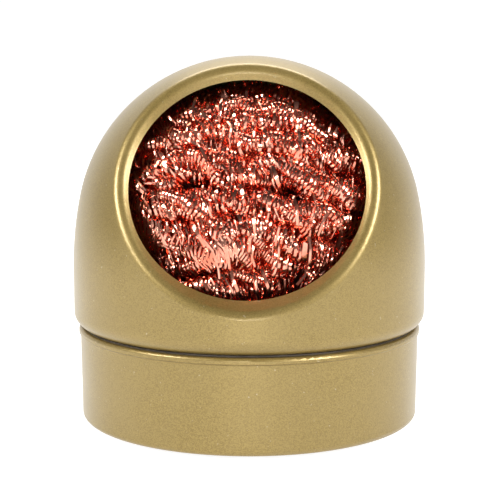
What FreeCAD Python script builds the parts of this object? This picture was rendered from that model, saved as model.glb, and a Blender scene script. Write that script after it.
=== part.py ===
"""Tip cleaner: a round metal cup and a domed cover with a tilted mouth, holding a ball of curled metal ribbon.

Millimetres, +Z up, -Y to the front, where the mouth faces.  The origin is the middle of the foot pad's
underside, on the surface that the object stands on.
"""
import FreeCAD, Part
import math
import os

import Sketcher

DIMENSIONS = {
    # foot pad and the glue film that holds it
    "pad_proud": 0.6,
    "pad_thickness": 1.9,
    "pad_radius": 31.0,
    "pad_rounding": 0.5,
    "glue_thickness": 0.1,
    "glue_radius": 30.0,
    # base cup
    "cup_radius": 33.8,
    "cup_foot_radius": 33.6,
    "cup_bore": 32.7,
    "cup_height": 18.3,
    "cup_rounding": 1.0,
    "floor_thickness": 1.2,
    "recess_radius": 31.4,
    "bead_radius": 34.1,
    "bead_height": 1.4,
    "edge_break": 0.3,
    # ballast disc and its countersunk screw
    "ballast_radius": 32.2,
    "ballast_thickness": 3.2,
    "screw_radius": 2.0,
    "screw_head_radius": 4.0,
    "screw_length": 3.9,
    "socket_width": 2.5,
    "socket_depth": 1.3,
    "screw_play": 0.05,
    # neck sleeve
    "sleeve_radius": 32.65,
    "sleeve_wall": 0.7,
    "sleeve_below": 8.5,
    "sleeve_above": 6.6,
    "shoulder_radius": 33.0,
    "shoulder_thickness": 0.25,
    # domed cover
    "cover_radius": 35.0,
    "crown_radius": 34.2,
    "crown_rise": 18.9,
    "crown_angle": 12.0,
    "cover_wall": 1.0,
    "curl_radius": 2.8,
    # mouth and its funnel lip, measured about the crown's centre
    "mouth_tilt": 28.0,
    "mouth_drop": 0.77,
    "mouth_radius": 21.87,
    "mouth_depth": 23.5,
    "funnel_angle": 55.0,
    "funnel_overrun": 2.0,
    "lip_radius": 1.8,
    # ball of curled ribbon
    "ball_radius": 29.0,
    "ball_flat_radius": 12.0,
    "ball_clearance": 0.3,
    "ball_front": 24.0,
}
BEYOND = 40.0   # length of a cutting solid that runs right out of the object

doc = FreeCAD.newDocument("tip_cleaner")
sheet = doc.addObject("Spreadsheet::Sheet", "dims")
for row, (alias, value) in enumerate(DIMENSIONS.items(), start=1):
    sheet.set("A%d" % row, alias)
    sheet.set("B%d" % row, str(value))
    sheet.setAlias("B%d" % row, alias)
doc.recompute()

# Heights and radii that follow from the driving dimensions, as sheet expressions.
FLOOR_UNDER = "(dims.pad_thickness + dims.glue_thickness)"
FLOOR_TOP = "(%s + dims.floor_thickness)" % FLOOR_UNDER
BALLAST_TOP = "(%s + dims.ballast_thickness)" % FLOOR_TOP
RIM = "(dims.pad_proud + dims.cup_height)"
COVER_FOOT = "(%s + dims.shoulder_thickness)" % RIM
CROWN_CENTRE = "(%s + dims.crown_rise)" % RIM
SIDE_RADIUS = ("((dims.cover_radius - dims.crown_radius * cos(dims.crown_angle))"
               " / (1 - cos(dims.crown_angle)))")
SIDE_CENTRE = "(%s - (%s - dims.crown_radius) * sin(dims.crown_angle))" % (CROWN_CENTRE, SIDE_RADIUS)


def size(expression):
    """Value of a sheet expression."""
    return float(sheet.evalExpression(expression))


def origin_plane(body, role):
    """One of the body's own origin planes."""
    return [feature for feature in body.Origin.OriginFeatures if feature.Role == role][0]


def arc_between(start, end, radius, turn):
    """Arc of at most half a turn from start to end; turn is +1 when it turns left, -1 when right."""
    chord = end - start
    half = chord.Length / 2
    height = math.sqrt(max(radius * radius - half * half, 0.0))
    side = FreeCAD.Vector(-chord.y, chord.x, 0).normalize() * height * turn
    centre = (start + end) * 0.5 + side
    middle = centre + ((start + end) * 0.5 - centre).normalize() * radius
    return Part.Arc(start, middle, end)


def draw_outline(sketch, corners):
    """Closed outline in a sketch.

    corners is a list of (x, y) or (x, y, radius, turn): the last two make the stretch from that corner
    to the next an arc.  Every value but turn is a sheet expression, and it stays bound to the sheet.
    """
    points = [FreeCAD.Vector(size(corner[0]), size(corner[1]), 0) for corner in corners]
    count = len(corners)
    for index, corner in enumerate(corners):
        start = points[index]
        end = points[(index + 1) % count]
        if len(corner) == 4:
            sketch.addGeometry(arc_between(start, end, size(corner[2]), corner[3]), False)
        else:
            sketch.addGeometry(Part.LineSegment(start, end), False)
    ends = [outline_ends(sketch, index, points[index]) for index in range(count)]
    for index in range(count):
        following = (index + 1) % count
        sketch.addConstraint(Sketcher.Constraint(
            "Coincident", index, ends[index][1], following, ends[following][0]))
    for index, corner in enumerate(corners):
        bind(sketch, Sketcher.Constraint("DistanceX", -1, 1, index, ends[index][0], points[index].x), corner[0])
        bind(sketch, Sketcher.Constraint("DistanceY", -1, 1, index, ends[index][0], points[index].y), corner[1])
        if len(corner) == 4:
            bind(sketch, Sketcher.Constraint("Radius", index, size(corner[2])), corner[2])


def outline_ends(sketch, index, first):
    """Which end of a sketch's curve is its first and which its last: an arc may be stored the other way."""
    curve = sketch.Geometry[index]
    starts_first = (curve.StartPoint - first).Length <= (curve.EndPoint - first).Length
    return (1, 2) if starts_first else (2, 1)


def bind(sketch, constraint, expression):
    """Adds a constraint whose value follows the sheet."""
    number = sketch.addConstraint(constraint)
    sketch.setExpression("Constraints[%d]" % number, expression)


def turned_body(name, corners):
    """Body made by turning an outline in the XZ plane about the Z axis."""
    body = doc.addObject("PartDesign::Body", name)
    sketch = body.newObject("Sketcher::SketchObject", name + "_outline")
    sketch.AttachmentSupport = [(origin_plane(body, "XZ_Plane"), "")]
    sketch.MapMode = "FlatFace"
    draw_outline(sketch, corners)
    turning = body.newObject("PartDesign::Revolution", name + "_turning")
    turning.Profile = sketch
    turning.ReferenceAxis = (sketch, ["V_Axis"])
    turning.Angle = 360
    body.Tip = turning
    doc.recompute()
    return body


def base_cup():
    """Round cup with a rolled bead at its rim, a recess for the pad and a countersunk hole in its floor."""
    foot = "dims.pad_proud"
    bead_foot = "%s - dims.bead_height" % RIM
    hole = "dims.screw_head_radius + dims.screw_play"
    return turned_body("base_cup", [
        (hole, FLOOR_UNDER),
        ("dims.recess_radius", FLOOR_UNDER),
        ("dims.recess_radius", foot + " + dims.edge_break"),
        ("dims.recess_radius + dims.edge_break", foot),
        ("dims.cup_foot_radius - dims.cup_rounding", foot, "dims.cup_rounding", 1),
        ("dims.cup_foot_radius", foot + " + dims.cup_rounding"),
        ("dims.cup_radius", bead_foot),
        ("dims.bead_radius", bead_foot + " + dims.edge_break"),
        ("dims.bead_radius", "%s - 2 * dims.edge_break" % RIM, "2 * dims.edge_break", 1),
        ("dims.bead_radius - 2 * dims.edge_break", RIM),
        ("dims.cup_bore + dims.edge_break", RIM),
        ("dims.cup_bore", "%s - dims.edge_break" % RIM),
        ("dims.cup_bore", FLOOR_TOP + " + dims.edge_break"),
        ("dims.cup_bore - dims.edge_break", FLOOR_TOP),
        (hole + " - dims.floor_thickness", FLOOR_TOP),
    ])


def ballast_disc():
    """Steel disc that weighs the cup down, tapped in the middle for its screw."""
    bore = "dims.screw_radius + dims.screw_play"
    mouth = "dims.screw_head_radius + dims.screw_play - dims.floor_thickness"
    edge = "dims.ballast_radius - dims.edge_break"
    return turned_body("ballast_disc", [
        (mouth, FLOOR_TOP),
        (edge, FLOOR_TOP),
        ("dims.ballast_radius", FLOOR_TOP + " + dims.edge_break"),
        ("dims.ballast_radius", BALLAST_TOP + " - dims.edge_break"),
        (edge, BALLAST_TOP),
        (bore, BALLAST_TOP),
        (bore, "%s + %s - %s" % (FLOOR_TOP, mouth, bore)),
    ])


def ballast_screw():
    """Countersunk screw with a hexagon socket, driven up through the cup's floor into the disc."""
    head_cone = "dims.screw_head_radius - dims.screw_radius"
    tip = "%s + dims.screw_length" % FLOOR_UNDER
    body = turned_body("ballast_screw", [
        ("0", FLOOR_UNDER),
        ("dims.screw_head_radius", FLOOR_UNDER),
        ("dims.screw_radius", "%s + %s" % (FLOOR_UNDER, head_cone)),
        ("dims.screw_radius", tip + " - dims.edge_break"),
        ("dims.screw_radius - dims.edge_break", tip),
        ("0", tip),
    ])
    sketch = body.newObject("Sketcher::SketchObject", "ballast_screw_socket")
    sketch.AttachmentSupport = [(origin_plane(body, "XY_Plane"), "")]
    sketch.MapMode = "FlatFace"
    sketch.setExpression("AttachmentOffset.Base.z", FLOOR_UNDER)
    corner = "dims.socket_width / sqrt(3)"
    draw_outline(sketch, [("%s * cos(%d)" % (corner, angle), "%s * sin(%d)" % (corner, angle))
                          for angle in range(0, 360, 60)])
    pocket = body.newObject("PartDesign::Pocket", "ballast_screw_socket_cut")
    pocket.Profile = sketch
    pocket.Reversed = True
    pocket.setExpression("Length", "dims.socket_depth")
    before = body.Shape.Volume
    body.Tip = pocket
    doc.recompute()
    if body.Shape.Volume >= before:
        raise RuntimeError("the screw's socket cuts nothing")
    return body


def pad_glue():
    """Thin film of glue between the cup's floor and the pad."""
    under = "dims.pad_thickness"
    return turned_body("pad_glue", [
        ("0", under),
        ("dims.glue_radius", under),
        ("dims.glue_radius", under + " + dims.glue_thickness"),
        ("0", under + " + dims.glue_thickness"),
    ])


def foot_pad():
    """Soft round pad that stands a little below the cup."""
    shoulder = "dims.pad_radius - dims.pad_rounding"
    return turned_body("foot_pad", [
        ("0", "0"),
        (shoulder, "0", "dims.pad_rounding", 1),
        ("dims.pad_radius", "dims.pad_rounding"),
        ("dims.pad_radius", "dims.pad_thickness"),
        ("0", "dims.pad_thickness"),
    ])


def neck_sleeve():
    """Loose ring that guides the cover on the cup; its shoulder lies on the cup's rim and carries the cover."""
    bore = "dims.sleeve_radius - dims.sleeve_wall"
    foot = "%s - dims.sleeve_below" % RIM
    top = "%s + dims.sleeve_above" % COVER_FOOT
    return turned_body("neck_sleeve", [
        (bore, foot),
        ("dims.sleeve_radius - dims.edge_break", foot),
        ("dims.sleeve_radius", foot + " + dims.edge_break"),
        ("dims.sleeve_radius", RIM),
        ("dims.shoulder_radius", RIM),
        ("dims.shoulder_radius", COVER_FOOT),
        ("dims.sleeve_radius", COVER_FOOT),
        ("dims.sleeve_radius", top + " - dims.edge_break"),
        ("dims.sleeve_radius - dims.edge_break", top),
        (bore, top),
    ])


def dome_corners(inset, foot):
    """Half outline of the dome, set in by inset from its outside and closed along the axis.

    From the curl's inner edge it runs round the curl, up the side, along the long side arc and over the crown.
    """
    land = "dims.cup_bore"
    curl_centre = "(%s + dims.curl_radius)" % COVER_FOOT
    curl = "(dims.curl_radius - %s)" % inset
    reach = "(%s - dims.cover_radius + dims.curl_radius)" % land
    land_height = "%s - sqrt(%s ^ 2 - %s ^ 2)" % (curl_centre, curl, reach)
    crown = "(dims.crown_radius - %s)" % inset
    side = "(%s - %s)" % (SIDE_RADIUS, inset)
    outline = [
        (land, land_height, curl, 1),
        ("dims.cover_radius - %s" % inset, curl_centre),
        ("dims.cover_radius - %s" % inset, SIDE_CENTRE, side, 1),
        ("%s * cos(dims.crown_angle)" % crown, "%s + %s * sin(dims.crown_angle)" % (CROWN_CENTRE, crown), crown, 1),
        ("0", "%s + %s" % (CROWN_CENTRE, crown)),
    ]
    if foot is None:
        return outline + [("0", land_height)]
    return outline + [("0", foot), (land, foot)]


def mouth_cutter(name, start, extra_radius):
    """Cone that opens outwards along the mouth's axis, from start out past the dome."""
    slope = "tan(dims.funnel_angle)"
    radius = "dims.mouth_radius + %s + (%s - dims.mouth_depth) * %s" % (extra_radius, start, slope)
    cone = doc.addObject("Part::Cone", name)
    cone.setExpression("Radius1", radius)
    cone.setExpression("Radius2", "%s + %g * %s" % (radius, BEYOND, slope))
    cone.Height = BEYOND
    cone.Placement = mouth_placement(size(start))
    doc.recompute()
    return cone


def mouth_placement(distance):
    """Placement whose Z axis is the mouth's axis, which passes just below the crown's centre."""
    tilt = math.radians(size("dims.mouth_tilt"))
    outwards = FreeCAD.Vector(0, -math.cos(tilt), math.sin(tilt))
    downwards = FreeCAD.Vector(0, -math.sin(tilt), -math.cos(tilt))
    centre = FreeCAD.Vector(0, 0, size(CROWN_CENTRE)) + downwards * size("dims.mouth_drop")
    return FreeCAD.Placement(centre + outwards * distance,
                             FreeCAD.Rotation(FreeCAD.Vector(0, 0, 1), outwards))


def mouthed_solid(name, dome, cutter):
    """Dome with the funnel cut into it."""
    cut = doc.addObject("Part::Cut", name)
    cut.Base = dome
    cut.Tool = cutter
    doc.recompute()
    return cut


def rounded_rim(solid, radius):
    """Solid with the rim between its outside and the funnel rounded over."""
    rounded = doc.addObject("Part::Fillet", solid.Name + "_rounded")
    rounded.Base = solid
    rounded.Edges = [(number, radius, radius) for number in funnel_rim(solid.Shape)]
    doc.recompute()
    return rounded


def funnel_rim(shape):
    """Numbers of the edges where the funnel's cone meets the dome's outside."""
    cones = [face for face in shape.Faces if isinstance(face.Surface, Part.Cone)]
    cone_edges = [edge for face in cones for edge in face.Edges]
    floor = mouth_placement(0)
    depth_limit = max(plane_depth(edge, floor) for edge in cone_edges if edge_is_level(edge, floor))
    numbers = []
    for number, edge in enumerate(shape.Edges, start=1):
        on_cone = any(edge.isSame(other) for other in cone_edges)
        if on_cone and not edge_is_level(edge, floor) and not edge_is_seam(edge, floor, depth_limit):
            numbers.append(number)
    return numbers


def edge_depths(edge, frame):
    """Distances of a few of the edge's points along the mouth's axis."""
    inverse = frame.inverse()
    return [inverse.multVec(point).z for point in edge.discretize(7)]


def plane_depth(edge, frame):
    """Smallest distance of the edge along the mouth's axis."""
    return min(edge_depths(edge, frame))


def edge_is_level(edge, frame):
    """True for an edge in a plane square to the mouth's axis, at the funnel's inner end."""
    depths = edge_depths(edge, frame)
    return max(depths) - min(depths) < 1e-6


def edge_is_seam(edge, frame, depth_limit):
    """True for the cone's own seam, which reaches down to the funnel's inner end."""
    return plane_depth(edge, frame) < depth_limit + 1e-6


def dome_cover():
    """Pressed cover: one wall, curled in at the foot and rolled into a short funnel at the mouth."""
    wall_in_plane = "dims.cover_wall / cos(dims.funnel_angle)"
    outside = mouthed_solid(
        "cover_outside",
        turned_body("cover_blank", dome_corners("0", None)),
        mouth_cutter("mouth_outside", "(dims.mouth_depth - dims.funnel_overrun)", "0"))
    inside = mouthed_solid(
        "cover_inside",
        turned_body("cover_hollow", dome_corners("dims.cover_wall", "dims.pad_proud")),
        mouth_cutter("mouth_inside", "dims.mouth_depth", wall_in_plane))
    cover = doc.addObject("Part::Cut", "dome_cover")
    cover.Base = rounded_rim(outside, size("dims.lip_radius"))
    cover.Tool = inside
    doc.recompute()
    return cover


def ribbon_ball():
    """Soft ball of curled ribbon: round above, fuller below, and pressed flat where it meets disc and mouth."""
    foot = "(%s + dims.ball_clearance)" % BALLAST_TOP
    height = "(%s - %s)" % (CROWN_CENTRE, foot)
    step = "(dims.ball_radius - dims.ball_flat_radius)"
    lower_radius = "((%s ^ 2 + %s ^ 2) / (2 * %s))" % (height, step, step)
    ball = turned_body("ball_blank", [
        ("0", foot),
        ("dims.ball_flat_radius", foot, lower_radius, 1),
        ("dims.ball_radius", CROWN_CENTRE, "dims.ball_radius", 1),
        ("0", "%s + dims.ball_radius" % CROWN_CENTRE),
    ])
    front = doc.addObject("Part::Cylinder", "ball_front_cutter")
    front.Radius = BEYOND
    front.Height = BEYOND
    front.Placement = mouth_placement(size("dims.ball_front"))
    pressed = doc.addObject("Part::Cut", "ribbon_ball")
    pressed.Base = ball
    pressed.Tool = front
    doc.recompute()
    return pressed


def check_document():
    """Stops on any object that failed to compute."""
    for item in doc.Objects:
        if "Invalid" in item.State or "Error" in item.State:
            raise RuntimeError("%s failed: %s" % (item.Name, item.State))


def write_parts(pieces):
    """Checks each piece's solid and writes it under its label."""
    os.makedirs("parts", exist_ok=True)
    for piece in pieces:
        shape = piece.Shape
        if shape.isNull() or not shape.isValid() or not shape.Solids:
            raise RuntimeError("%s has no valid solid" % piece.Label)
        shape.exportStep("parts/%s.step" % piece.Label)
        print("%-14s %10.1f mm3  %s" % (piece.Label, shape.Volume, shape.BoundBox))


PIECES = [make() for make in (
    base_cup, ballast_disc, ballast_screw, pad_glue, foot_pad, neck_sleeve, dome_cover, ribbon_ball)]
check_document()
write_parts(PIECES)
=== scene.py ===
"""Looks of a tip cleaner: champagne gold cup and cover round a ball of curled copper ribbon.

Metres, +Z up, front at -Y.
"""
import math

import bmesh
import bpy
import numpy as np
from mathutils import Euler, Matrix, Vector, noise


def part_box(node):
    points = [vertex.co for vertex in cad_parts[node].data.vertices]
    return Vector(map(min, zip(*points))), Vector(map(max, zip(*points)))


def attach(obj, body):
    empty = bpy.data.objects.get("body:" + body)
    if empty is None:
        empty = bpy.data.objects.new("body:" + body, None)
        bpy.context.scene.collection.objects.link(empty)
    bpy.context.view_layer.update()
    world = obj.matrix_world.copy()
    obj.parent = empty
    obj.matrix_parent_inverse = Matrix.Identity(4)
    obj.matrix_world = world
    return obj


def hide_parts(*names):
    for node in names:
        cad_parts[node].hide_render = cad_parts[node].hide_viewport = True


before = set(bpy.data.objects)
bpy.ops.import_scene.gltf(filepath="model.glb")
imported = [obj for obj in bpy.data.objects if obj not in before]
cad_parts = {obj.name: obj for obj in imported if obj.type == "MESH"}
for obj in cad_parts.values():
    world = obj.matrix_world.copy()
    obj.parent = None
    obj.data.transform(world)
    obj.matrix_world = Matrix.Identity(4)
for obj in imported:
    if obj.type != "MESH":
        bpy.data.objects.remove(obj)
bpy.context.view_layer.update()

MM = 0.001

CUP_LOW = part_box("base_cup")[0]
COVER_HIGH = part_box("dome_cover")[1]
BALL_LOW, BALL_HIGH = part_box("ribbon_ball")
MOUTH_TILT = math.radians(28)
MOUTH_AXIS = Vector((0, -math.cos(MOUTH_TILT), math.sin(MOUTH_TILT)))


# ---------------------------------------------------------------- parts of any material


def new_material(name, colour, metallic, roughness):
    """Material with its Principled shader set up; returns it, its node tree and the shader."""
    material = bpy.data.materials.new(name)
    material.use_nodes = True
    tree = material.node_tree
    surface = tree.nodes["Principled BSDF"]
    surface.inputs["Base Color"].default_value = (*colour, 1)
    surface.inputs["Metallic"].default_value = metallic
    surface.inputs["Roughness"].default_value = roughness
    return material, tree, surface


def add_math(tree, operation, *values):
    """Math node; each value is a number or a socket."""
    node = tree.nodes.new("ShaderNodeMath")
    node.operation = operation
    for socket, value in zip(node.inputs, values):
        if isinstance(value, (int, float)):
            socket.default_value = value
        else:
            tree.links.new(value, socket)
    return node.outputs[0]


def add_map(tree, source, low, high, to_low, to_high):
    """Source mapped from low..high to to_low..to_high, easing in and out."""
    ranged = tree.nodes.new("ShaderNodeMapRange")
    ranged.interpolation_type = "SMOOTHSTEP"
    for name, value in (("From Min", low), ("From Max", high), ("To Min", to_low), ("To Max", to_high)):
        ranged.inputs[name].default_value = value
    tree.links.new(source, ranged.inputs["Value"])
    return ranged.outputs["Result"]


# ---------------------------------------------------------------- camera, light and floor


def set_camera():
    """Camera level with the top of the cover, looking slightly down on the mouth."""
    elevation = math.radians(8.34)
    azimuth = math.radians(1.1)
    distance = 272.6 * MM
    aim = Vector((0, 0, 33.4 * MM))
    towards = Vector((math.sin(azimuth) * math.cos(elevation), -math.cos(azimuth) * math.cos(elevation),
                      math.sin(elevation)))
    data = bpy.data.cameras.new("camera")
    data.lens = 97.9
    data.sensor_width = 36
    data.shift_x = 0.0014
    camera = bpy.data.objects.new("camera", data)
    camera.location = aim + distance * towards
    camera.rotation_euler = Euler((math.pi / 2 - elevation, 0, azimuth))
    bpy.context.collection.objects.link(camera)
    bpy.context.scene.camera = camera


def add_area_light(name, azimuth, elevation, distance, size, power):
    """Soft rectangular light that faces the object, azimuth from the front towards +X."""
    target = Vector((0, 0, (CUP_LOW[2] + COVER_HIGH[2]) / 2))
    side, up = math.radians(azimuth), math.radians(elevation)
    outwards = Vector((math.sin(side) * math.cos(up), -math.cos(side) * math.cos(up), math.sin(up)))
    data = bpy.data.lights.new(name, "AREA")
    data.shape = "RECTANGLE"
    data.size, data.size_y = size
    data.energy = power
    light = bpy.data.objects.new(name, data)
    light.location = target + outwards * distance
    light.rotation_euler = (-outwards).to_track_quat("-Z", "Y").to_euler()
    bpy.context.collection.objects.link(light)


def set_world():
    """Studio surround: bright behind, dim in front and overhead, and white wherever it is seen directly."""
    world = bpy.data.worlds.new("studio")
    bpy.context.scene.world = world
    world.use_nodes = True
    tree = world.node_tree
    background = tree.nodes["Background"]
    background.inputs["Color"].default_value = (1, 1, 1, 1)
    direction = tree.nodes.new("ShaderNodeTexCoord")
    split = tree.nodes.new("ShaderNodeSeparateXYZ")
    tree.links.new(direction.outputs["Generated"], split.inputs[0])
    front_strength, overhead_strength = 0.20, 0.30
    back = add_map(tree, split.outputs["Y"], 0.1, 0.9, front_strength, 1.0)
    overhead = add_map(tree, split.outputs["Z"], 0.30, 0.90, 1.0, overhead_strength)
    lighting = add_math(tree, "MULTIPLY", back, overhead)
    seen = tree.nodes.new("ShaderNodeLightPath").outputs["Is Camera Ray"]
    tree.links.new(add_math(tree, "MAXIMUM", lighting, seen), background.inputs["Strength"])


def select_edges(obj, wanted):
    """In edit mode, selects just the edges that wanted(edge) is true for."""
    bpy.ops.mesh.select_mode(type="EDGE")
    bpy.ops.mesh.select_all(action="DESELECT")
    mesh = bmesh.from_edit_mesh(obj.data)
    for edge in mesh.edges:
        if wanted(edge):
            edge.select_set(True)
    bmesh.update_edit_mesh(obj.data)


def add_floor():
    """Plain white floor that curves up into a backdrop, far wider than the view."""
    half = 3.0
    curve_radius = 1.5
    slack = 0.01
    bpy.ops.object.select_all(action="DESELECT")
    bpy.ops.mesh.primitive_plane_add(size=2 * half)
    floor = bpy.context.object
    floor.name = "floor"
    bpy.ops.object.mode_set(mode="EDIT")
    select_edges(floor, lambda edge: all(vertex.co.y > half - slack for vertex in edge.verts))
    bpy.ops.mesh.extrude_region_move(TRANSFORM_OT_translate={"value": (0, 0, half)})
    select_edges(floor, lambda edge: all(
        vertex.co.y > half - slack and vertex.co.z < slack for vertex in edge.verts))
    bpy.ops.mesh.bevel(offset=curve_radius, segments=16)
    bpy.ops.object.mode_set(mode="OBJECT")
    bpy.ops.object.shade_smooth()
    paper, _, surface = new_material("white_floor", (0.35, 0.35, 0.35), 0.0, 0.9)
    surface.inputs["Specular IOR Level"].default_value = 0.0
    surface.inputs["Emission Color"].default_value = (1, 1, 1, 1)
    surface.inputs["Emission Strength"].default_value = 0.93
    floor.data.materials.append(paper)


set_camera()
set_world()
add_floor()
add_area_light("left_box", -60, 32, 0.60, (0.17, 0.20), 2.9)
add_area_light("right_box", 60, 32, 0.60, (0.17, 0.20), 3.1)
add_area_light("back_box", 180, 60, 0.60, (0.50, 0.26), 2.4)
add_area_light("low_box", 0, 3, 0.75, (0.24, 0.05), 1.0)
bpy.context.scene.view_settings.view_transform = "Standard"


# ---------------------------------------------------------------- effects shared by the finishes


def new_group(name, inputs, outputs):
    """Shader node group with named numbers in and out; returns it, its input node and its output node."""
    group = bpy.data.node_groups.new(name, "ShaderNodeTree")
    for label, value in inputs:
        socket = group.interface.new_socket(label, in_out="INPUT", socket_type="NodeSocketFloat")
        socket.default_value = value
    for label in outputs:
        group.interface.new_socket(label, in_out="OUTPUT", socket_type="NodeSocketFloat")
    return group, group.nodes.new("NodeGroupInput"), group.nodes.new("NodeGroupOutput")


def add_noise(tree, scale, detail=2.0, roughness=0.5):
    """Noise over the object's own coordinates; scale is a number or a socket."""
    coordinates = tree.nodes.new("ShaderNodeTexCoord")
    pattern = tree.nodes.new("ShaderNodeTexNoise")
    pattern.inputs["Detail"].default_value = detail
    pattern.inputs["Roughness"].default_value = roughness
    tree.links.new(coordinates.outputs["Object"], pattern.inputs["Vector"])
    if isinstance(scale, (int, float)):
        pattern.inputs["Scale"].default_value = scale
    else:
        tree.links.new(scale, pattern.inputs["Scale"])
    return pattern.outputs["Fac"]


def make_flake_group():
    """Metal flake in paint: each flake has its own brightness and height, over a faint orange peel."""
    group, given, result = new_group(
        "paint_flakes", [("Flake Size", 0.2), ("Peel Size", 1.5)], ["Glint", "Height"])
    coordinates = group.nodes.new("ShaderNodeTexCoord")
    cells = group.nodes.new("ShaderNodeTexVoronoi")
    group.links.new(coordinates.outputs["Object"], cells.inputs["Vector"])
    group.links.new(add_math(group, "DIVIDE", 1 / MM, given.outputs["Flake Size"]), cells.inputs["Scale"])
    split = group.nodes.new("ShaderNodeSeparateXYZ")
    group.links.new(cells.outputs["Color"], split.inputs[0])
    peel = add_noise(group, add_math(group, "DIVIDE", 1 / MM, given.outputs["Peel Size"]), 1.0)
    grain = add_math(group, "MULTIPLY", split.outputs["Y"], 0.12)
    group.links.new(split.outputs["X"], result.inputs["Glint"])
    group.links.new(add_math(group, "ADD", grain, peel), result.inputs["Height"])
    return group


def make_handling_group():
    """Marks of handling: faint smears, and a few pale dust specks."""
    group, given, result = new_group(
        "handling_marks", [("Smear Size", 12.0), ("Dust Size", 0.7)], ["Smears", "Dust"])
    smears = add_noise(group, add_math(group, "DIVIDE", 1 / MM, given.outputs["Smear Size"]), 5.0, 0.6)
    specks = add_noise(group, add_math(group, "DIVIDE", 1 / MM, given.outputs["Dust Size"]), 1.0)
    spread = add_map(group, smears, 0.35, 0.65, 0.0, 1.0)
    dust = add_map(group, specks, 0.74, 0.80, 0.0, 1.0)
    group.links.new(spread, result.inputs["Smears"])
    group.links.new(dust, result.inputs["Dust"])
    return group


def make_turning_group():
    """Fine tool lines: rings at equal distances from the Z axis, and rings at equal heights."""
    group, given, result = new_group("tool_lines", [("Line Spacing", 0.3)], ["Face Lines", "Side Lines"])
    coordinates = group.nodes.new("ShaderNodeTexCoord")
    split = group.nodes.new("ShaderNodeSeparateXYZ")
    group.links.new(coordinates.outputs["Object"], split.inputs[0])
    squares = [add_math(group, "POWER", split.outputs[axis], 2) for axis in ("X", "Y")]
    across = add_math(group, "SQRT", add_math(group, "ADD", *squares))
    drift = add_math(group, "MULTIPLY", add_noise(group, 1 / (4 * MM)), 0.4)
    wave_count = add_math(group, "DIVIDE", math.tau / MM, given.outputs["Line Spacing"])
    for distance, label in ((across, "Face Lines"), (split.outputs["Z"], "Side Lines")):
        turns = add_math(group, "ADD", add_math(group, "MULTIPLY", distance, wave_count), drift)
        wave = add_math(group, "MULTIPLY_ADD", add_math(group, "SINE", turns), 0.5, 0.5)
        group.links.new(wave, result.inputs[label])
    return group


FLAKES = make_flake_group()
HANDLING = make_handling_group()
TOOL_LINES = make_turning_group()


# ---------------------------------------------------------------- finishes


def place_group(tree, group, **values):
    """Puts a group in a material with its own values, given as names with underscores."""
    node = tree.nodes.new("ShaderNodeGroup")
    node.node_tree = group
    for name, value in values.items():
        node.inputs[name.replace("_", " ")].default_value = value
    return node


def mix_colours(tree, factor, first, second):
    """Mix of two colours, each a tuple or a socket, by a factor socket."""
    node = tree.nodes.new("ShaderNodeMix")
    node.data_type = "RGBA"
    tree.links.new(factor, node.inputs["Factor"])
    for socket, value in ((node.inputs[6], first), (node.inputs[7], second)):
        if isinstance(value, tuple):
            socket.default_value = (*value, 1)
        else:
            tree.links.new(value, socket)
    return node.outputs[2]


def add_bump(tree, surface, height, distance):
    """Bump of a height socket, distance metres deep."""
    bump = tree.nodes.new("ShaderNodeBump")
    bump.inputs["Distance"].default_value = distance
    tree.links.new(height, bump.inputs["Height"])
    tree.links.new(bump.outputs["Normal"], surface.inputs["Normal"])


def gold_paint():
    """Champagne gold metallic paint under a satin lacquer, a little smeared and dusty."""
    material, tree, surface = new_material("champagne_gold_paint", (0.5, 0.36, 0.17), 0.62, 0.42)
    surface.inputs["Coat Weight"].default_value = 0.55
    surface.inputs["Coat Roughness"].default_value = 0.28
    dull_flake, bright_flake = (0.232, 0.158, 0.041), (0.352, 0.252, 0.074)
    smear, dust = (0.322, 0.236, 0.086), (0.72, 0.66, 0.52)
    flakes = place_group(tree, FLAKES, Flake_Size=0.16, Peel_Size=1.8)
    marks = place_group(tree, HANDLING, Smear_Size=14.0, Dust_Size=0.55)
    flake_colour = mix_colours(tree, flakes.outputs["Glint"], dull_flake, bright_flake)
    faint_smears = add_math(tree, "MULTIPLY", marks.outputs["Smears"], 0.25)
    smeared = mix_colours(tree, faint_smears, flake_colour, smear)
    faint_dust = add_math(tree, "MULTIPLY", marks.outputs["Dust"], 0.3)
    tree.links.new(mix_colours(tree, faint_dust, smeared, dust), surface.inputs["Base Color"])
    rough = add_math(tree, "MULTIPLY_ADD", marks.outputs["Smears"], 0.05, 0.39)
    tree.links.new(rough, surface.inputs["Roughness"])
    add_bump(tree, surface, flakes.outputs["Height"], 0.010 * MM)
    return material


def turned_steel(name, colour, roughness, lines, spacing):
    """Bare steel with tool lines on its faces or its sides."""
    material, tree, surface = new_material(name, colour, 1.0, roughness)
    tooling = place_group(tree, TOOL_LINES, Line_Spacing=spacing)
    marks = place_group(tree, HANDLING, Smear_Size=9.0, Dust_Size=0.5)
    dulled = tuple(0.6 * value for value in colour)
    tree.links.new(mix_colours(tree, marks.outputs["Smears"], colour, dulled), surface.inputs["Base Color"])
    rough = add_math(tree, "MULTIPLY_ADD", marks.outputs["Smears"], 0.15, roughness)
    tree.links.new(rough, surface.inputs["Roughness"])
    add_bump(tree, surface, tooling.outputs[lines], 0.012 * MM)
    return material


def pad_rubber():
    """Black foam rubber: fine pores and a little lint."""
    rubber, lint = (0.02, 0.02, 0.021), (0.16, 0.155, 0.15)
    material, tree, surface = new_material("black_foam_rubber", rubber, 0.0, 0.75)
    marks = place_group(tree, HANDLING, Smear_Size=6.0, Dust_Size=0.4)
    pores = add_noise(tree, 1 / (0.35 * MM), 3.0, 0.7)
    tree.links.new(mix_colours(tree, marks.outputs["Dust"], rubber, lint), surface.inputs["Base Color"])
    rough = add_math(tree, "MULTIPLY_ADD", marks.outputs["Smears"], 0.15, 0.65)
    tree.links.new(rough, surface.inputs["Roughness"])
    add_bump(tree, surface, pores, 0.05 * MM)
    return material


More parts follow.
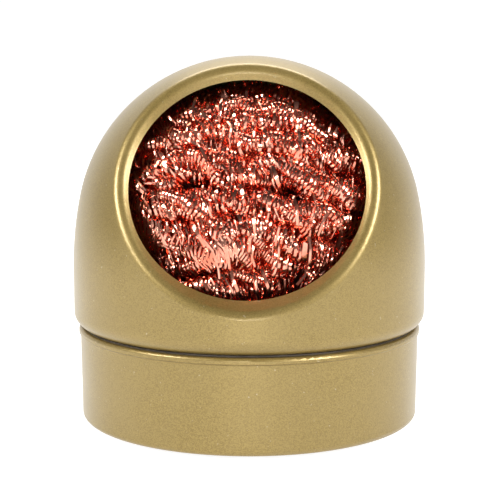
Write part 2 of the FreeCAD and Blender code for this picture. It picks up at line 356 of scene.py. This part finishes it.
def glue_film():
    """Thin yellowed adhesive with trapped air."""
    material, tree, surface = new_material("glue_film", (0.55, 0.46, 0.26), 0.0, 0.35)
    thick, thin = (0.42, 0.33, 0.16), (0.70, 0.62, 0.42)
    bubbles = add_noise(tree, 1 / (0.8 * MM), 3.0)
    tree.links.new(mix_colours(tree, bubbles, thick, thin), surface.inputs["Base Color"])
    add_bump(tree, surface, bubbles, 0.03 * MM)
    return material


def copper_finish(name, deep, pale, roughness):
    """Bright copper ribbon that darkens here and there where it is tarnished."""
    material, tree, surface = new_material(name, pale, 1.0, roughness)
    edge_tint = (1.0, 0.55, 0.45, 1)
    surface.inputs["Specular Tint"].default_value = edge_tint
    patches = add_map(tree, add_noise(tree, 1 / (3 * MM), 3.0, 0.6), 0.35, 0.7, 0.0, 1.0)
    streaks = add_noise(tree, 1 / (0.5 * MM), 2.0)
    tree.links.new(mix_colours(tree, patches, pale, deep), surface.inputs["Base Color"])
    rough = add_math(tree, "MULTIPLY_ADD", streaks, 0.14, roughness - 0.07)
    tree.links.new(rough, surface.inputs["Roughness"])
    add_bump(tree, surface, streaks, 0.02 * MM)
    return material


def paint(node, material):
    """Puts one material in all of a CAD node's slots."""
    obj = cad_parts[node]
    for place in obj.material_slots:
        place.material = material
    if not obj.material_slots:
        obj.data.materials.append(material)


GOLD = gold_paint()
paint("dome_cover", GOLD)
paint("base_cup", GOLD)
paint("neck_sleeve", turned_steel("dull_sleeve_steel", (0.16, 0.14, 0.12), 0.45, "Side Lines", 0.35))
paint("ballast_disc", turned_steel("turned_ballast_steel", (0.46, 0.46, 0.47), 0.32, "Face Lines", 0.30))
paint("ballast_screw", turned_steel("blackened_screw_steel", (0.09, 0.09, 0.095), 0.38, "Side Lines", 0.20))
paint("foot_pad", pad_rubber())
paint("pad_glue", glue_film())
COPPER = copper_finish("bright_copper_ribbon", (0.90, 0.255, 0.155), (0.97, 0.42, 0.30), 0.18)
# Shaded copy of the copper: both colours are painted shade, nearly black, standing for the darkness deep
# inside the ball.
PAINTED_SHADE_COPPER = copper_finish("painted_shade_copper", (0.05, 0.012, 0.008), (0.12, 0.03, 0.02), 0.5)


# ---------------------------------------------------------------- ball of curled ribbon

BALL_RADIUS = (BALL_HIGH[0] - BALL_LOW[0]) / 2
BALL_CENTRE = Vector((0, 0, BALL_HIGH[2] - BALL_RADIUS))
BALL_DEPTH = BALL_CENTRE.z - BALL_LOW[2]
BALL_FRONT = 27.5 * MM
ROPE_INSET = 2.1 * MM
ROW_SPACING = 7.0 * MM
POINTS_PER_ROW = 110
FRONT_PRESS = 0.7           # share of what stands out past the front that is pressed back
RIBBON_THICKNESS = 0.07 * MM
STEPS_PER_TURN = 8
BUNCH_SIZE = 6 * MM         # the turns of a coil crowd together and part over this length
BUNCHING = 2.4 * MM
CRUMPLE_SIZE = 2.4 * MM
SHARP_EDGE = math.radians(62)
NOISE_SEED = 5


def ball_point(direction, inset):
    """Point of the ball's surface in a direction from its centre, set in by inset; it is fuller below."""
    across = BALL_RADIUS - inset
    down = BALL_DEPTH - inset if direction.z < 0 else across
    point = Vector((direction.x * across, direction.y * across, direction.z * down))
    reach = point.dot(MOUTH_AXIS)
    front = BALL_FRONT - inset
    if reach > front:
        point -= MOUTH_AXIS * (reach - front) * FRONT_PRESS
    return BALL_CENTRE + point


def wind_rope():
    """Middle line of the rope that is wound into the ball: each point with its outward direction."""
    rows = math.pi * BALL_RADIUS / ROW_SPACING
    lean = Euler((-MOUTH_TILT, math.radians(7), 0)).to_matrix()
    sway, sway_length = 3.4 * MM, 16 * MM
    swell, swell_length = 2.2 * MM, 9 * MM
    rope = []
    steps = int(rows * POINTS_PER_ROW)
    for step in range(steps + 1):
        height = math.radians(-80 + 160 * step / steps)
        turn = math.tau * step / POINTS_PER_ROW
        direction = Vector((math.cos(height) * math.cos(turn), math.cos(height) * math.sin(turn),
                            math.sin(height)))
        outward = lean @ direction
        middle = ball_point(outward, ROPE_INSET)
        middle += noise.noise_vector(middle / sway_length) * sway
        middle += outward * noise.noise(middle / swell_length) * swell
        rope.append((middle, outward))
    return rope


def lay_strand(name, rope, seed, off_middle, lay, start):
    """Path of one strand: it runs round the rope's middle line once in every lay, and wanders a little."""
    twist, twist_length = 1.5, 14 * MM
    wander, wander_length = 1.7 * MM, 6 * MM
    data = bpy.data.curves.new(name, "CURVE")
    data.dimensions = "3D"
    spline = data.splines.new("POLY")
    spline.points.add(len(rope) - 3)
    travelled = 0.0
    for index in range(1, len(rope) - 1):
        before, middle, after = (rope[index + shift][0] for shift in (-1, 0, 1))
        outward = rope[index][1]
        aside = (after - before).cross(outward).normalized()
        travelled += (middle - before).length
        turn = travelled * math.tau / lay + start
        turn += twist * noise.noise(middle / twist_length + Vector((0, seed, 0)))
        point = middle + off_middle * (math.cos(turn) * outward + math.sin(turn) * aside)
        point += noise.noise_vector(middle / wander_length + Vector((seed * 7.3, 0, 0))) * wander
        spline.points[index - 1].co = (*point, 1)
    path = bpy.data.objects.new(name, data)
    bpy.context.collection.objects.link(path)
    return path


def path_length(path):
    """Length of a straight-sided path."""
    points = [Vector(point.co[:3]) for point in path.data.splines[0].points]
    return sum((b - a).length for a, b in zip(points, points[1:]))


def apply_all(obj):
    """Applies an object's modifiers in order."""
    bpy.context.view_layer.objects.active = obj
    for modifier in list(obj.modifiers):
        bpy.ops.object.modifier_apply(modifier=modifier.name)


def ruffle(obj, name, scale, strength):
    """Adds a modifier that pushes points about in three directions by a cloudy pattern."""
    clouds = bpy.data.textures.new(name, "CLOUDS")
    clouds.noise_scale = scale
    clouds.noise_depth = 1
    clouds.cloud_type = "COLOR"
    push = obj.modifiers.new(name, "DISPLACE")
    push.texture = clouds
    push.direction = "RGB_TO_XYZ"
    push.texture_coords = "LOCAL"
    push.strength = strength
    push.mid_level = 0.5


def curl_ribbon(name, path, pitch, radius, width, crumple):
    """One flat ribbon curled into a long coil and laid along a path."""
    bpy.ops.object.select_all(action="DESELECT")
    bpy.ops.mesh.primitive_circle_add(vertices=3, radius=radius, location=(0, 0, 0))
    strand = bpy.context.object
    strand.name = name
    corners = [(radius, 0, -width / 2), (radius, 0, width / 2), (radius - RIBBON_THICKNESS, 0, 0)]
    for vertex, corner in zip(strand.data.vertices, corners):
        vertex.co = corner
    screw = strand.modifiers.new("curl", "SCREW")
    screw.axis = "Z"
    screw.angle = math.tau
    screw.screw_offset = pitch
    screw.iterations = int(path_length(path) / pitch)
    screw.steps = STEPS_PER_TURN
    screw.render_steps = STEPS_PER_TURN
    apply_all(strand)
    bpy.ops.object.mode_set(mode="EDIT")
    bpy.ops.mesh.select_all(action="SELECT")
    bpy.ops.mesh.fill_holes(sides=4)
    bpy.ops.mesh.normals_make_consistent(inside=False)
    bpy.ops.object.mode_set(mode="OBJECT")
    strand.data.transform(Matrix.Rotation(math.pi / 2, 4, "Y"))
    ruffle(strand, name + "_bunch", BUNCH_SIZE, BUNCHING)
    bend = strand.modifiers.new("wind", "CURVE")
    bend.object = path
    bend.deform_axis = "POS_X"
    ruffle(strand, name + "_crumple", CRUMPLE_SIZE, crumple)
    apply_all(strand)
    keep_inside(strand)
    bpy.ops.object.shade_smooth_by_angle(angle=SHARP_EDGE)
    return strand


def ease_below(values, limit, softness):
    """Values that come close to the limit are drawn in ever more, and none passes it."""
    start = limit - softness
    over = np.maximum(values - start, 0.0)
    return np.minimum(values, start) + softness * np.tanh(over / softness)


def keep_inside(obj):
    """Draws in the points that would rub on the lip of the mouth as the cover turns or lifts."""
    round_limit = BALL_RADIUS + 2.1 * MM
    upright_limit = BALL_RADIUS + 1.0 * MM
    softness = 1.4 * MM
    count = len(obj.data.vertices)
    places = np.empty(count * 3)
    obj.data.vertices.foreach_get("co", places)
    places = places.reshape(-1, 3) - np.array(BALL_CENTRE)
    stretch = np.where(places[:, 2] < 0, BALL_DEPTH / BALL_RADIUS, 1.0)
    reach = np.hypot(np.hypot(places[:, 0], places[:, 1]), places[:, 2] / stretch)
    places *= (ease_below(reach, round_limit, softness) / reach)[:, None]
    across = np.hypot(places[:, 0], places[:, 1])
    places[:, :2] *= (ease_below(across, upright_limit, softness) / across)[:, None]
    places += np.array(BALL_CENTRE)
    obj.data.vertices.foreach_set("co", places.ravel())
    obj.data.update()


def make_coils():
    """All the coils of ribbon, each a strand of the same rope."""
    rope = wind_rope()
    # Millimetres, but for the start in turns. A lay below zero runs round the rope the other way.
    strands = [  # pitch, radius, width, distance off the rope's middle, lay, start, crumple
        (0.64, 1.70, 0.34, 1.7, 26, 0.00, 0.28),
        (0.62, 1.45, 0.32, 1.8, 26, 0.33, 0.24),
        (0.72, 1.60, 0.34, 1.7, 26, 0.66, 0.34),
        (1.00, 2.00, 0.34, 1.4, -18, 0.50, 0.35),
        (1.30, 2.20, 0.32, 1.1, 23, 0.60, 0.60),
        (0.95, 1.30, 0.30, 2.1, -23, 0.10, 0.30),
        (1.90, 2.50, 0.15, 1.0, 25, 0.35, 0.60),
        (2.30, 2.30, 0.13, 1.5, -21, 0.65, 0.80),
        (4.60, 3.30, 0.46, 0.8, 33, 0.20, 0.60),
        (6.20, 3.60, 0.38, 0.6, -38, 0.80, 0.70),
    ]
    coils = []
    for number, (pitch, radius, width, off_middle, lay, start, crumple) in enumerate(strands, start=1):
        path = lay_strand("path_%d" % number, rope, number, off_middle * MM, lay * MM, start * math.tau)
        coil = curl_ribbon("ribbon_coil_%d" % number, path, pitch * MM, radius * MM, width * MM, crumple * MM)
        coil.data.materials.append(COPPER)
        bpy.data.objects.remove(path)
        coils.append(coil)
    return coils


def make_heart():
    """Packed inside of the ball, its copper painted nearly black as painted shade, seen only as darkness
    between the coils.
    """
    bpy.ops.object.select_all(action="DESELECT")
    bpy.ops.mesh.primitive_ico_sphere_add(subdivisions=5, radius=1, location=(0, 0, 0))
    heart = bpy.context.object
    heart.name = "ribbon_heart"
    depth, lump_size, lump_height = 7.5 * MM, 3 * MM, 2 * MM
    for vertex in heart.data.vertices:
        vertex.co = ball_point(vertex.co.normalized(), depth)
    ruffle(heart, "heart_lumps", lump_size, lump_height)
    apply_all(heart)
    heart.data.materials.append(PAINTED_SHADE_COPPER)
    return heart


noise.seed_set(NOISE_SEED)
for piece in [*make_coils(), make_heart()]:
    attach(piece, "ball")
    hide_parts("ribbon_ball")
